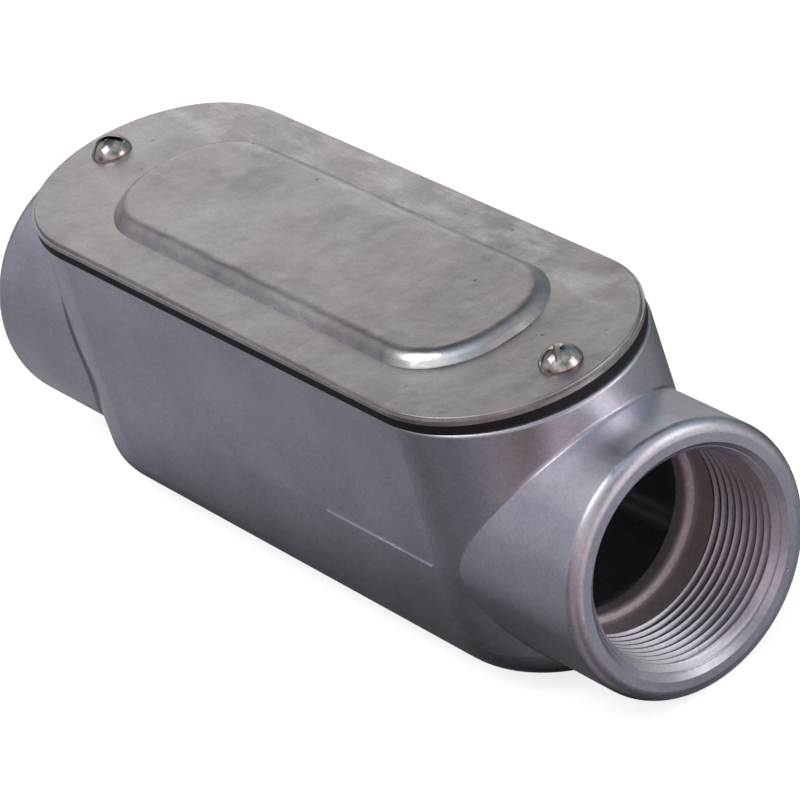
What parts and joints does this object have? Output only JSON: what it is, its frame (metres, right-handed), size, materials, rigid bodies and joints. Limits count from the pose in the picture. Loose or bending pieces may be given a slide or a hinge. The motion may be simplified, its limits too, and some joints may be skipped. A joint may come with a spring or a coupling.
{
  "type": "conduit body",
  "caption": "Straight-through cast aluminium conduit body with a threaded hub at each end, a gasket and a screwed-on domed cover over the wire chamber.",
  "frame": {"origin": "below the body's middle, level with the lowest line of both hubs", "axes": "+X along both hubs towards the right-hand hub, +Z out through the cover"},
  "size_m": [0.211, 0.0606, 0.0718],
  "materials": {
    "cast_housing": "satin die casting",
    "gasket_rubber": "matte",
    "cast_cover": "tumbled matte casting",
    "screw_steel": "bright plated"
  },
  "bodies": {
    "root": {"housing": "cast_housing", "gasket": "gasket_rubber", "cover": "cast_cover", "cover_screw_left": "screw_steel", "cover_screw_right": "screw_steel"}
  },
  "joints": []
}
